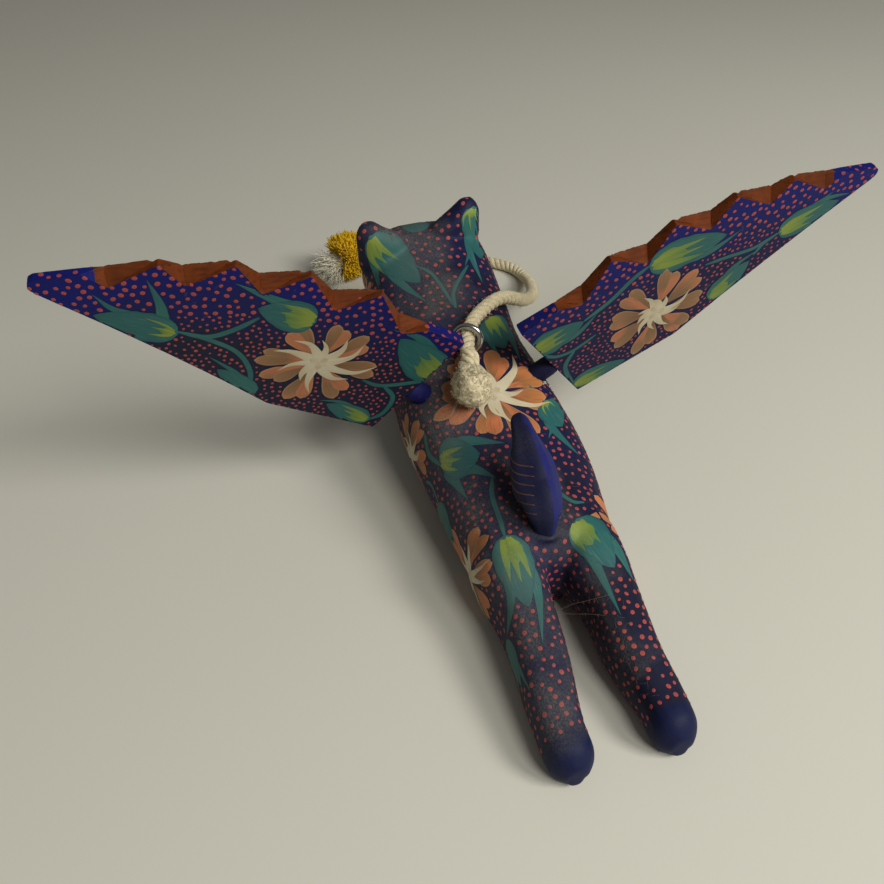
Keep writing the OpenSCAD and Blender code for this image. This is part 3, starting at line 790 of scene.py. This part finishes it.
class Canvas:
    """A flat drawing plane that is laid on a surface along its normal, in millimetres."""

    def __init__(self, sheaf, middle, normal, up=(0, 1, 0), reach=30, steepest=0.05):
        self.tree, self.sheaf, self.steepest = sheaf.tree, sheaf, steepest
        self.normal = Vector(normal).normalized()
        self.across = Vector(up).cross(self.normal).normalized()
        self.up = self.normal.cross(self.across)
        self.reach = reach * mm
        self.middle = Vector(middle) * mm

    def mark(self, point):
        """Where a point in space lies on the drawing."""
        off = Vector(point) - self.middle / mm
        return off.dot(self.across), off.dot(self.up)

    def place(self, u, v, lift):
        """The surface point under a drawing point, raised by the lift, and whether it faces the drawing."""
        point = self.middle + (self.across * u + self.up * v) * mm
        spot, facing = self.tree.ray_cast(point + self.normal * self.reach, -self.normal, 2 * self.reach)[:2]
        if spot is None:
            spot, facing = self.tree.find_nearest(point)[:2]
            return spot + facing * lift * mm, False
        return spot + facing * lift * mm, facing.dot(self.normal) > self.steepest

    def stroke(self, points, width, profile, paint, lift, across=4):
        """A brush stroke along drawing points, with a width that follows a profile."""
        longest_step, crown_height, uneven = 0.9, 0.03, 0.07
        flat = [(*p, 0) for p in points]
        step = min(longest_step, norm(np.subtract(flat[-1], flat[0])) / 8 + 0.05)
        path = smooth_curve(flat, step)
        along = run_lengths(path)
        seed = vary(0, 400)
        spots, brush, run, met = [], [], [], []
        for i, (p, t) in enumerate(zip(path, headings(path))):
            s = along[i] / along[-1]
            half = width / 2 * profile(s) * (1 + uneven * noise.noise(Vector((seed, along[i] * 0.4, 0))))
            for j in range(across + 1):
                w = 2 * j / across - 1
                crown = crown_height * (1 - w * w)
                spot, hit = self.place(p[0] - t[1] * w * half, p[1] + t[0] * w * half, lift + crown)
                spots.append(spot)
                met.append(hit)
                brush.append((along[i] + seed, w * half + seed))
                run.append((s, (w + 1) / 2))
        n = across + 1
        faces = [[i * n + j, (i + 1) * n + j, (i + 1) * n + j + 1, i * n + j + 1]
                 for i in range(len(path) - 1) for j in range(across)]
        faces = [f for f in faces if all(met[k] for k in f)]
        self.sheaf.add(spots, faces, brush, paint, run)

    def flower(self, radius, petals, turn, middle=(0, 0), swirl=0.4, pale=0.62):
        """An open flower: petals of two lobes each, and a pinwheel of pale strokes that taper outward.

        Pale is the strokes' usual length as a share of the petals'.
        """
        def ray(angle, r):
            return middle[0] + r * cos(angle), middle[1] + r * sin(angle)
        for k in range(petals):
            a = turn + tau * (k + vary(-0.14, 0.14)) / petals
            for lobe in (-1, 1):
                long = radius * vary(0.80, 1.04)
                bend = lobe * vary(0.75, 1.05) / petals
                wide = radius * vary(0.23, 0.30)
                root, belly = ray(a + 0.3 * bend, 0.15 * radius), ray(a + bend, 0.6 * radius)
                end = ray(a + 1.2 * bend, long)
                self.stroke([root, belly, end], wide, petal_width, PETAL, 0.06 + 0.02 * (lobe > 0), 6)
        strokes = petals + 2
        for k in range(strokes):
            a = turn + tau * (k + vary(-0.3, 0.3)) / strokes
            long = radius * pale * draw.choice((0.7, 0.9, 1.05, 1.3))
            curve = swirl * vary(0.6, 1.6)
            wide = radius * vary(0.16, 0.25)
            line = [ray(a, 0.02 * radius), ray(a + 0.12 * curve, 0.35 * long),
                    ray(a + 0.45 * curve, 0.7 * long), ray(a + curve, long)]
            self.stroke(line, wide, horn_width, CREAM, 0.12 + 0.015 * (k % 3))
        for k in range(3):
            a = turn + 2.1 * k
            line = [ray(a, -0.17 * radius), ray(a + 0.3, 0.02 * radius), ray(a, 0.17 * radius)]
            self.stroke(line, 0.2 * radius, almond_width, CREAM, 0.17)

    def bud(self, base, tip, width, ends=None, lime=1.0, aside=0.0):
        """A plump leaf bud: a round base with a lime patch and flames, and horn-like tails.

        Lime is the size of the lime patch, and aside its shift to one side as a share of the width.
        """
        deepest = 0.4
        start, stop = np.array(base, float), np.array(tip, float)
        long = norm(stop - start)
        ahead = (stop - start) / long
        side = np.array([-ahead[1], ahead[0]])

        def at(forward, sideways):
            return start + ahead * long * forward + side * width * sideways
        if ends is None:
            ends = [at(vary(1.15, 1.35), 0.5), at(vary(1.05, 1.3), -0.55)]
        for end in ends:
            out = np.array(end) - start
            lean = 0.26 * np.sign(side @ out)
            root = min(deepest, max(0.1, 0.55 * (ahead @ out) / long - 0.12))
            bend = at(root + 0.4, 1.3 * lean) if root == deepest else start + 0.55 * out
            self.stroke([at(root, lean), bend, end], width * 0.36, horn_width, LEAF, 0.06)
        self.stroke([at(-0.03, 0), at(0.45, 0), stop], width, bud_width, LEAF, 0.09, 8)
        if lime == 0:
            return
        patch = [at(0, aside / 2), at(0.2, aside), at(0.42 * lime, aside)]
        self.stroke(patch, width * 0.55 * lime, almond_width, LIME, 0.13, 6)
        for lean in (-0.26, -0.04, 0.2):
            reach = vary(0.45, 0.75) * min(1.0, 0.4 + 0.6 * lime)
            wander = lean * vary(0.9, 1.2) + aside
            line = [at(0.03, 0.3 * lean), at(0.4 * reach, 0.8 * lean + aside), at(reach, wander)]
            self.stroke(line, width * vary(0.14, 0.23) * lime, flame_width, LIME, 0.14)

    def stem(self, points, width=1.3):
        self.stroke(points, width, stem_width, LEAF, 0.05, 2)


def add_dots(sheaf, spots, spacing, radius):
    """Round dabs on the surface, clear of the strokes and of each other."""
    clear = 0.95 * mm
    taken = KDTree(max(1, len(sheaf.points)))
    for i, p in enumerate(sheaf.points):
        taken.insert(p, i)
    taken.balance()
    cells = {}
    step = spacing * mm
    around = [(i, j, k) for i in (-1, 0, 1) for j in (-1, 0, 1) for k in (-1, 0, 1)]
    for spot in spots:
        key = tuple(floor(c / step) for c in spot)
        near = (q for i, j, k in around for q in cells.get((key[0] + i, key[1] + j, key[2] + k), ()))
        if any((spot - q).length < step for q in near):
            continue
        if sheaf.points and taken.find(spot)[2] < clear:
            continue
        cells.setdefault(key, []).append(spot)
    for group in cells.values():
        for spot in group:
            dab(sheaf, spot, radius * vary(0.75, 1.2), DOT, 0.05)


def dab(sheaf, spot, radius, paint, lift):
    """A small round dab of paint, slightly domed and not quite round."""
    sides, dome = 9, 0.10
    facing = sheaf.tree.find_nearest(spot)[1]
    across = facing.orthogonal().normalized()
    up = facing.cross(across)
    wide = vary(0.88, 1.14)
    turn = vary(0, 6.28)
    seed = vary(0, 400)
    points, brush = [], []
    for j in range(sides):
        a = turn + tau * j / sides
        off = (across * cos(a) * wide + up * sin(a) / wide) * radius * mm
        near, way = sheaf.tree.find_nearest(spot + off)[:2]
        points.append(near + way * lift * mm)
        brush.append((cos(a) * radius + seed, sin(a) * radius + seed))
    points.append(spot + facing * (lift + dome) * mm)
    brush.append((seed, seed))
    run = [(1.0, 0.5)] * sides + [(0.0, 0.5)]
    sheaf.add(points, [[j, (j + 1) % sides, sides] for j in range(sides)], brush, paint, run)


def scattered(mesh, count, keep):
    """Random points on a mesh, spread by area, that pass a test of place and normal."""
    mesh.calc_loop_triangles()
    co = read_points(mesh)
    tri = np.array([t.vertices for t in mesh.loop_triangles])
    a, b, c = co[tri[:, 0]], co[tri[:, 1]], co[tri[:, 2]]
    cross = np.cross(b - a, c - a)
    area = norm(cross, axis=1)
    chance = np.cumsum(area) / area.sum()
    out = []
    for _ in range(count):
        i = min(int(np.searchsorted(chance, draw.random())), len(tri) - 1)
        u, v = draw.random(), draw.random()
        if u + v > 1:
            u, v = 1 - u, 1 - v
        spot = Vector(a[i] + u * (b[i] - a[i]) + v * (c[i] - a[i]))
        facing = Vector(cross[i] / max(area[i], 1e-12))
        if keep(spot / mm, facing):
            out.append(spot)
    return out


def surface_tree(mesh):
    return BVHTree.FromPolygons([v.co for v in mesh.vertices], [list(p.vertices) for p in mesh.polygons])


def ornament_paints(carrier, petal, other_petal, dust, shade=1.0, wear=None):
    """Petal, cream, leaf, lime, dot and ink paints for one carrier, darker with a lower shade: painted shade
    that scales every tone.
    """
    def paint(name, *tones):
        # Painted shade: every tone is multiplied by the shade.
        colours = [srgb(*(shade * v for v in tone)) for tone in tones]
        return stroke_paint(name + "_" + carrier, *colours, dust, wear)
    return [
        paint("petal", (116, 84, 56), petal, other_petal, (128, 90, 60), (176, 132, 92)),
        paint("cream", (204, 194, 164), (184, 166, 132), (198, 186, 154), (216, 208, 184), (190, 176, 146)),
        paint("teal", (45, 101, 95), (36, 88, 88), (40, 92, 93), (61, 119, 107), (32, 80, 82)),
        paint("lime", (130, 146, 56), (74, 114, 66), (108, 130, 60), (146, 158, 80), (96, 126, 68)),
        paint("coral", (157, 67, 62), (174, 75, 68), (147, 69, 67), (166, 73, 66), (170, 77, 71)),
        paint("ink", (18, 16, 22), (14, 12, 16), (16, 14, 20), (22, 20, 26), (12, 10, 14))]


# Flowers, buds and stems on the body

def decorate_body(sheaf):
    """Flowers on the back and flanks, buds and stems between them, in body millimetres."""
    def flower(middle, normal, radius, petals, turn, pale=0.62, swirl=0.4):
        Canvas(sheaf, middle, normal).flower(radius, petals, turn, swirl=swirl, pale=pale)

    def bud(base, tip, normal, width, *ends, lime=1.0, aside=0.0):
        canvas = Canvas(sheaf, base, normal)
        canvas.bud((0, 0), canvas.mark(tip), width, [canvas.mark(end) for end in ends] or None, lime, aside)

    def seen_bud(base, tip, *rest, **options):
        """A bud that is laid on as the viewer sees it."""
        bud(base, tip, viewer - Vector(base), *rest, **options)

    def stem(normal, *points):
        canvas = Canvas(sheaf, points[0], normal)
        canvas.stem([canvas.mark(p) for p in points])

    flower((1, 3.5, 40), (0, -0.2, 1), 19, 8, 0.4, 0.75)
    over = (0, -0.25, 1)
    bud((0, 81, 57), (-2, 92, 52), (0, 0.5, 1), 10, lime=0)
    seen_bud((-11.1, -43.9, 27.8), (-11, -63, 20.8), 10.6, (-17.5, -65.5, 14.5), (-11.3, -74, 18.8),
             aside=0.06)
    stem(over, (-11.1, -43.9, 28), (-10.5, -38, 29), (-10, -30, 31), (-8, -24, 33))
    seen_bud((9.7, -44, 28.3), (15, -58.5, 23), 10.6, (11.4, -71.5, 19.2), (19.4, -62, 19.8),
             lime=1.15, aside=-0.08)
    stem(over, (14.5, -38, 28.5), (11, -37.5, 29), (8, -33, 30), (7, -28, 31))
    seen_bud((-19.6, -10.5, 29), (-9, -15.5, 33.6), 12.5, (-0.9, -14, 34.4), (-6.9, -24.6, 31.3),
             (-16.2, -27, 27.4), lime=0.8)
    stem((-0.5, -0.2, 1), (-20, -12, 29), (-22, -6, 29), (-21, 1, 31))
    seen_bud((16.8, 0, 35.6), (19, -10, 32.8), 8, (12.4, -15, 33.6), (21, -19, 28.5), lime=0.4)
    stem(over, (16.8, 0, 35.6), (14, 4, 37), (12, 9, 38))
    seen_bud((10.4, 36, 45), (11.4, 21, 42.6), 9.5, (15, 17, 40), (8, 18.5, 43.2), aside=0.1)
    stem(over, (1.4, 42.6, 46.6), (-1.2, 59.8, 49.7), (-6, 65.4, 51.3))
    stem(over, (1.4, 42.6, 46.6), (3.6, 51.9, 47.9), (12, 63, 50.5))
    seen_bud((-20, 72.6, 60.5), (-6.5, 58, 49), 13.5, (-6.9, 48, 47), (-19.5, 65.9, 45),
             lime=0.75, aside=-0.16)
    seen_bud((19, 79, 63.5), (17.5, 65, 50.5), 10.5, (14.8, 54.6, 46.9), (10.5, 62, 50.2),
             lime=0.45, aside=-0.16)
    for side in (-1, 1):
        out = (side, 0, 0.25)
        flower((side * 24.5, -43, 14.5), (side * 0.97, -0.12, 0.22), 15, 6, 0.3, 0.56 - 0.12 * side, 0.12)
        flower((side * 25, 5, 20.5), (side, 0, 0.15), 13.5, 6, 0.9)
        bud((side * 20 + 1.5, -66, 13), (side * 19 + 1.5, -79, 11), (side, -0.1, 0.3), 6.5, lime=0)
        bud((side * 25, -18, 20), (side * 25, -30, 14), out, 9, lime=0)
        stem(out, (side * 25, -18, 20), (side * 25, -12, 22), (side * 25, -8, 20))
        bud((side * 23, 29, 27), (side * 23, 41, 19), (side, 0.1, 0.2), 9.5)
        stem(out, (side * 23, 29, 27), (side * 24, 24, 30), (side * 24, 19, 28))
        flower((side * 22 + 1.5, 77, 36), (side, 0, 0.1), 9.5, 6, 0.2)
        bud((side * 17, 74, 8), (side * 17, 86, 8), (side, 0, 0.35), 6)


def draw_face(sheaf):
    """A calm, plain cat face: almond eyes, a small nose, a mouth and whisker spots."""
    middle = 1.5

    def canvas(x, y, z, normal):
        return Canvas(sheaf, (middle + x, y, z), normal, straight_up)

    for side in (-1, 1):
        eye = canvas(side * 10.5, 97, 43, (side * 0.35, 1, 0.45))
        eye.stroke([(-5.2, -0.6 * side), (0, 0.3), (5.2, 0.6 * side)], 6.2, almond_width, INK, 0.06, 8)
        eye.stroke([(-4.4, -0.5 * side), (0, 0.2), (4.4, 0.5 * side)], 4.9, almond_width, CREAM, 0.10, 8)
        eye.stroke([(0, -2.3), (0, 0), (0, 2.3)], 4.2, almond_width, LIME, 0.15, 8)
        eye.stroke([(0, -2.0), (0, 0), (0, 2.0)], 1.5, almond_width, INK, 0.20)
        whisker = canvas(side * 8, 101, 24, (side * 0.5, 1, 0))
        for row in (-1, 0, 1):
            for column in (-1, 0, 1):
                spot = whisker.place(column * 2.4, row * 2.4 + 0.6 * column * side, 0)[0]
                dab(sheaf, spot, 0.5, CREAM, 0.08)
        mouth = canvas(0, 103, 24, (0, 1, -0.1))
        mouth.stroke([(0, 1.5), (-side * 2.5, -1.2), (-side * 6, -0.2)], 0.7, stem_width, INK, 0.08, 2)
    nose = canvas(0, 102, 33, (0, 1, 0.5))
    nose.stroke([(-2.8, 1.4), (0, 0.9), (2.8, 1.4)], 2.4, almond_width, DOT, 0.08, 6)
    nose.stroke([(0, 1.5), (0, 0), (0, -2.4)], 2.6, bud_width, DOT, 0.10, 6)
    nose.stroke([(0, -2), (0, -5), (0, -7.5)], 0.6, stem_width, INK, 0.08, 2)


def make_body():
    mesh = rounded_body()
    sheaf = Sheaf(surface_tree(mesh))
    show("carved_body", mesh, "carving", [body_blue()], ["body"])
    decorate_body(sheaf)
    draw_face(sheaf)
    neck = 34

    def dotted(spot):
        """Whether a place has dots: not the socks, the mouths of the holes, the nose or the underside."""
        socks = spot.y < -95 or (spot.y > 95 and spot.z < 14)
        mouths = min((spot * mm - peg_frame(side).translation).length for side in (1, -1)) < 4.6 * mm
        seat = (spot * mm - tail_seat).length < 5.5 * mm
        nose = spot.y > 99.5
        return not (socks or mouths or seat or nose or spot.z < 1.0)

    def on_head(spot, facing):
        return spot.y > neck and dotted(spot)

    def on_trunk(spot, facing):
        return spot.y <= neck and dotted(spot)
    add_dots(sheaf, scattered(mesh, 30000, on_head), spacing=2.7, radius=0.66)
    add_dots(sheaf, scattered(mesh, 70000, on_trunk), spacing=2.1, radius=0.58)
    # The ornament's dust follows the same bias, with its painted light and shade.
    paints = ornament_paints("body", (190, 120, 66), (198, 114, 72), 0.6, 1.0, body_dust_light_and_shade)
    show("body_ornament", sheaf, "carving", paints)
    add_crumbs(sheaf.tree)


def add_crumbs(tree):
    """Crumbs of dried glue at the foot of the right peg, and lint and hairs that lie on the coat."""
    glue, lint = range(2)
    crumbs, leg_hairs, hair_r = 16, 2, 0.03 * mm
    sheaf = Sheaf()
    foot = peg_frame(1) @ (Vector((1.5, -4.2, -1.5)) * mm)
    for _ in range(crumbs):
        spot = tree.find_nearest(foot + any_way() * 1.3 * mm)[0]
        line = fibre(spot, any_way(), vary(0.5, 1.1) * mm, 0.4, 4)
        add_tube(sheaf, line, vary(0.2, 0.4) * mm, 6, glue)
    for wide, long, count in (((-24, 22), (-85, 85), 240), ((6, 11), (-92, -64), 50)):
        for _ in range(count):
            guess = Vector((vary(*wide), vary(*long), 60)) * mm
            spot, facing = tree.ray_cast(guess, -straight_up)[:2]
            if spot and facing.z > 0.2:
                across = any_way().cross(facing)
                add_tube(sheaf, lint_line(tree, spot, across, vary(1, 4) * mm), hair_r, 3, lint)
    for _ in range(leg_hairs):
        start = Vector((-5, vary(-66, -64), 18.5)) * mm
        add_tube(sheaf, fibre(start, (1, -0.16, 0.02), 16 * mm, 0.1, 10), hair_r, 3, lint)
    paints = [matt_crumb("dried_glue", srgb(190, 184, 166), srgb(140, 134, 116)),
              matt_crumb("lint", srgb(128, 120, 104), srgb(86, 76, 62))]
    show("glue_and_lint", sheaf, "carving", paints)


def lint_line(tree, start, heading, length):
    """A hair that lies along the surface."""
    lift = 0.12
    out = []
    for p in fibre(start, heading, length, 0.35, 6):
        spot, facing = tree.find_nearest(p)[:2]
        out.append(spot + facing * lift * mm)
    return out


# Wings, pegs and tail

def sanded(node, voxel, rounds):
    """A CAD node's mesh with its corners rubbed soft and its faces kept true."""
    bm = bmesh.new()
    bm.from_mesh(nodes[node].data)
    piece = temporary(node, bm)
    mesh = fine_skin(piece, voxel)
    bpy.data.objects.remove(piece)
    true_faces = surface_tree(nodes[node].data)
    edges = sharp_edges(nodes[node].data)
    for _ in range(2):
        soften(mesh, rounds)
        co = np.array([true_faces.find_nearest(v.co)[0] for v in mesh.vertices])
        write_points(mesh, onto_edges(co, edges, 1.25 * voxel))
    soften(mesh, rounds // 3)
    mesh.shade_smooth()
    return mesh


def sharp_edges(mesh, least=radians(15)):
    """Both ends of each edge at which a mesh bends."""
    bm = bmesh.new()
    bm.from_mesh(mesh)
    bmesh.ops.remove_doubles(bm, verts=bm.verts, dist=0.001 * mm)
    bent = [e for e in bm.edges if len(e.link_faces) == 2 and e.calc_face_angle() > least]
    ends = np.array([[v.co[:] for v in e.verts] for e in bent])
    bm.free()
    return ends


def onto_edges(co, edges, reach):
    """Points with those near an edge moved onto it."""
    moved = co.copy()
    nearest = np.full(len(co), reach)
    for a, b in edges:
        run = np.clip((co - a) @ (b - a) / ((b - a) @ (b - a)), 0, 1)
        spot = a + run[:, None] * (b - a)
        gap = norm(co - spot, axis=1)
        closer = gap < nearest
        moved[closer] = spot[closer]
        nearest[closer] = gap[closer]
    return moved


def wing_brushes(sheaf, side, face):
    """Ways to paint a stem, a bud and a flower on one face of a wing, in the wing's own millimetres."""
    home = wing_frame(side)
    turn = home.to_3x3()
    out, up = turn @ Vector((0, face, 0)), turn @ straight_up
    canvas = Canvas(sheaf, home.translation / mm, out, up, 12, 0.85)

    def at(places):
        return [canvas.mark((home @ (Vector((x, 0, z)) * mm)) / mm) for x, z in places]

    def stem(width, *places):
        canvas.stem(at(places), width)

    def bud(width, lime, *places):
        base, tip, *tails = at(places)
        canvas.bud(base, tip, width, tails, lime)

    def flower(radius, turn, middle, pale):
        canvas.flower(radius, 8, turn, at([middle])[0], pale=pale)
    return stem, bud, flower


def decorate_first(stem, bud, flower):
    """A flower with buds at its crest, elbow and root: the left wing's rear face, the right wing's front."""
    stem(1.6, (65, 41), (58, 38), (51, 39.5), (44, 43))
    stem(1.5, (65, 41), (58, 37), (51.5, 31), (49, 23), (50, 14))
    stem(1.6, (-4.6, 9.8), (4, 9), (13, 9.5), (18, 13))
    stem(1.5, (12, 9.5), (9, 3), (12, -4), (17, -6.6))
    bud(10.5, 0.5, (65.5, 40.5), (83.5, 50), (82, 57), (68.6, 60))
    bud(12, 1.25, (30, 39.5), (44, 46.5), (48.5, 56))
    bud(13.5, 1.1, (-4.6, 9.8), (7, 29), (9, 33))
    bud(8, 1.0, (17, -6.6), (29, 4), (31, 6))
    bud(7, 0, (49, 13), (57.5, 25), (59, 30.5))
    flower(17.5, 0.35, (30, 23), 0.75)


def decorate_second(stem, bud, flower):
    """A flower with slimmer buds on longer stems: the right wing's rear face, the left wing's front."""
    stem(1.7, (9, 23.5), (16, 30), (21, 37), (26, 42))
    stem(1.4, (-3, 12), (3, 9.5), (9, 11), (15, 16))
    stem(1.6, (9, 11), (7.5, 3), (13, -7.6))
    stem(1.5, (69, 44.5), (62, 40), (54, 38.5), (46, 37))
    stem(1.2, (63, 37), (65, 41), (69, 44.5))
    bud(11, 1.1, (-6, 14), (9, 23.5), (13, 26))
    bud(13, 1.15, (26, 41.5), (49, 48), (54, 49))
    bud(10.5, 1.1, (69, 44.5), (86, 53), (89, 55), (82, 57))
    bud(9.5, 1.1, (54, 21), (62.5, 35), (64, 39))
    bud(9.5, 1.1, (13, -7.6), (30, 0), (33, 1))
    flower(19, 0.1, (34.5, 20.5), 0.5)


def wing_paints(mesh, side):
    """Brown along the notched crest, blue elsewhere."""
    least_rise, flattest, crest_start, crest_end = 0.2, 0.93, -1, 80
    home = wing_frame(side).inverted()
    turn = home.to_3x3()
    crest = []
    for face in mesh.polygons:
        spot = home @ face.center / mm
        way = turn @ face.normal
        crest.append(way.z > least_rise and abs(way.y) < flattest and crest_start < spot.x < crest_end)
    marks = settled(mesh, np.array(crest, float))
    mesh.polygons.foreach_set("material_index", marks.astype(np.int32))


def settled(mesh, marks, rounds=4):
    """Marks on faces with lone specks taken out: each face follows most of those round it."""
    corners = np.array([list(face.vertices) for face in mesh.polygons])
    count = np.bincount(corners.ravel(), minlength=len(mesh.vertices))
    for _ in range(rounds):
        total = np.bincount(corners.ravel(), np.repeat(marks, corners.shape[1]), len(mesh.vertices))
        marks = (total / count)[corners].mean(1)
    return marks > 0.5


def make_wing(name, side, coats, paints):
    """One wing: the sanded board in its two coats, with flowers, buds, stems and dots on both faces."""
    line_top, line_bow, line_middle, face_flat = 47, 0.0051, 70, 0.9
    mesh = sanded(name, 0.42 * mm, 16)
    wing_paints(mesh, side)
    sheaf = Sheaf(surface_tree(mesh))
    show(name + "_board", mesh, name, coats, [name])
    decorate_first(*wing_brushes(sheaf, side, side))
    decorate_second(*wing_brushes(sheaf, side, -side))
    home = wing_frame(side).inverted()
    turn = home.to_3x3()

    def high(spot):
        """How far a place lies above a line that follows the crest at some depth."""
        place = home @ (spot * mm) / mm
        return place.z - (line_top - line_bow * (place.x - line_middle) ** 2)

    def near_crest(spot, facing):
        way = turn @ facing
        plain_end = way.z > 0.1 and not 0 < (home @ (spot * mm)).x / mm < 82
        return high(spot) > 0 and (abs(way.y) > face_flat or plain_end)

    def lower(spot, facing):
        return high(spot) <= 0 and abs((turn @ facing).y) > face_flat
    add_dots(sheaf, scattered(mesh, 25000, near_crest), spacing=2.1, radius=0.62)
    add_dots(sheaf, scattered(mesh, 50000, lower), spacing=1.55, radius=0.44)
    show(name + "_ornament", sheaf, name, paints)


def make_wings():
    coats = [wing_blue(), crest_brown()]
    # The wing paints are darkened to 0.9 as painted shade.
    paints = ornament_paints("wing", (146, 110, 76), (186, 114, 78), 0.1, 0.9)
    make_wing("left_wing", -1, coats, paints)
    make_wing("right_wing", 1, coats, paints)


def make_pegs():
    """Whittled pegs: slightly faceted rods, those of the wings with a thinner tenon."""
    blue = plain_blue("peg_blue", srgb(22, 23, 92), srgb(20, 20, 54), 0.1)
    # The right peg's coat is the pegs' blue darkened to navy, as painted shade of the right wing's shadow on
    # it.
    dark = plain_blue("peg_painted_shade_navy", srgb(20, 21, 54), srgb(15, 15, 34), 0.1)
    wing_peg = [(-11.7, 2.6), (-11, 3.3), (0, 3.34), (3.5, 3.3), (5.1, 3.1), (5.35, 2.7), (5.4, 1.75),
                (16, 1.75), (16.2, 1.4)]
    tail_peg = [(-9.7, 1.3), (-9, 1.65), (0, 1.67), (6, 1.65)]
    add_whittled("left_wing_peg", "left_peg", peg_frame(-1), wing_peg, blue)
    add_whittled("right_wing_peg", "right_peg", peg_frame(1), wing_peg, dark)
    add_whittled("tail_peg", "tail", Matrix.Translation(tail_seat), tail_peg, blue)


def add_whittled(node, body, place, stations, material):
    """A turned rod with shallow knife facets, given as places along it and radii."""
    sides, facets, cut_depth = 28, 7, 0.035
    points, brush = [], []
    for along, r in stations:
        for j in range(sides):
            a = tau * j / sides
            cut = r * (1 - cut_depth * abs(sin(facets * a / 2 + 0.4)))
            points.append(place @ (Vector((cut * cos(a), cut * sin(a), along)) * mm))
            brush.append((along, a))
    faces = tube_faces(len(stations), sides)
    if place.is_negative:
        faces = [f[::-1] for f in faces]
    sheaf = Sheaf()
    sheaf.add(points, faces, brush)
    mesh = sheaf.mesh("whittled_" + node)
    mesh.set_sharp_from_angle(angle=radians(40))
    show("whittled_" + node, mesh, body, [material], [node])


# Along the tail: how far forward, how high, half the width and half the thickness
tail_rows = [(0, 0.1, 3.2, 3.2), (0.1, 2, 3.4, 3.3), (1.2, 5.5, 4.98, 4.35), (3.8, 8, 5.85, 5.6),
             (8, 9.5, 6.75, 6), (13, 14, 6.05, 5.4), (18.5, 18, 3.75, 3.6), (23.5, 20.4, 2.6, 2),
             (25, 21, 1.5, 1.2)]


def make_tail():
    """A horn that leans forward, with a ridge along its rear side and thin arcs on its left."""
    sides, ridge_at, hollow, crease, crease_w = 48, radians(-80), 0.14, 0.02, 0.2
    rows = smooth_curve(tail_rows, 1.2)
    lean = headings(rows[:, :2])
    lean[0] = (0, 1)
    points, brush = [], []
    for (forward, up, wide, thick), (ahead, rise) in zip(rows, lean):
        for j in range(sides):
            a = ridge_at + tau * j / sides
            off = min(j, sides - j) * tau / sides
            ridge = 1 - hollow * sin(min(2 * off, pi)) ** 2 + crease * max(0.0, 1 - off / crease_w)
            depth = thick * sin(a) * ridge
            spot = Vector((wide * cos(a) * ridge, forward + depth * rise, up - depth * ahead))
            points.append(tail_seat + spot * mm)
            brush.append((up, off * 4))
    sheaf = Sheaf()
    sheaf.add(points, tube_faces(len(rows), sides), brush)
    mesh = sheaf.mesh("horn_tail")
    mesh.set_sharp_from_angle(angle=radians(22))
    show("horn_tail", mesh, "tail", [tail_blue()], ["tail"])
    arcs, arc_gap, arc_w = 6, 2.5, 0.32
    lines = Sheaf(surface_tree(mesh))
    left = Canvas(lines, (-3, -37, 40), (-0.75, -0.55, 0.55), (0.25, 0.75, 0.6), 20)
    for k in range(arcs):
        v = -7 + arc_gap * k
        arc = [(-5, v + 4), (-4, v + 1.4), (-1.5, v - 0.7), (3, v - 1.8)]
        left.stroke(arc, arc_w, stem_width, PETAL, 0.04, 2)
    # The rings' paints are darkened to 0.75 as painted shade, on the tail's shaded left side.
    paints = ornament_paints("tail", (104, 58, 42), (96, 54, 42), 0.2, 0.75)
    show("tail_rings", lines, "tail", paints)


def make_floor():
    half = 2.0
    corners = [(-half, -half, 0), (half, -half, 0), (half, half, 0), (-half, half, 0)]
    mesh = bpy.data.meshes.new("floor")
    mesh.from_pydata(corners, [], [[0, 1, 2, 3]])
    mesh.materials.append(floor_paper())
    add_object("floor", mesh)


make_camera()
make_hanger()
make_screw_eye()
make_body()
make_wings()
make_pegs()
make_tail()
make_floor()
make_light()
